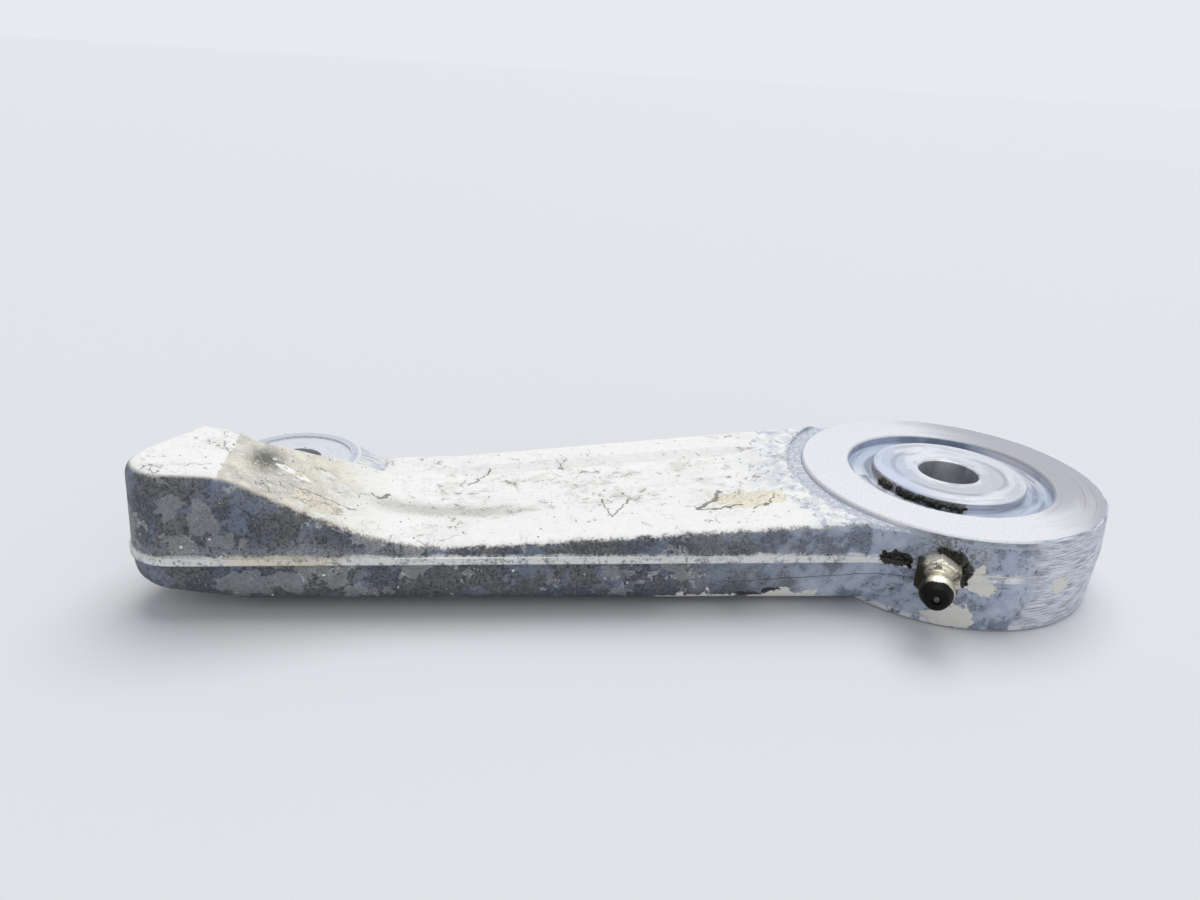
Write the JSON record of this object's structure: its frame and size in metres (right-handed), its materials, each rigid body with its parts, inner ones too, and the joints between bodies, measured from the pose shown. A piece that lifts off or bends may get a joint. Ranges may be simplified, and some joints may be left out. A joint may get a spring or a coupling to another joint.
{
  "type": "torque link",
  "caption": "Forged aluminium torque link with a round bushed apex boss, a raised fork block, one fork lug and a grease fitting in the boss side",
  "frame": {"origin": "on the axis of the apex bore, at the parting plane of the forging", "axes": "+Z along the apex bore, out of the machined face with the raised bushing flange; -X to the fork bore; +Y away from the grease fitting's side"},
  "size_m": [0.1959, 0.0749, 0.0293],
  "materials": {
    "painted_forging": "white paint, worn and chipped to dull aluminium, dark grime on the sides, machined bare faces",
    "bushing_steel": "turned steel with light scuffs and a little rust at the rim",
    "plated_steel": "zinc plated steel with a yellow cast and black grease",
    "ball_steel": "polished steel"
  },
  "bodies": {
    "link": {"link_forging": "painted_forging", "upper_bushing": "bushing_steel", "lower_bushing": "bushing_steel", "grease_fitting": "plated_steel", "ball_spring": "ball_steel"},
    "ball": {"check_ball": "ball_steel"}
  },
  "joints": [
    {"name": "check_ball_lift", "type": "slide", "parent": "link", "child": "ball", "axis": [0.342, 0.9397, 0], "range_m": [0, 0.0008], "stiffness_N_per_m": 300, "springref_m": -0.001, "deforming": ["ball_spring"]}
  ]
}
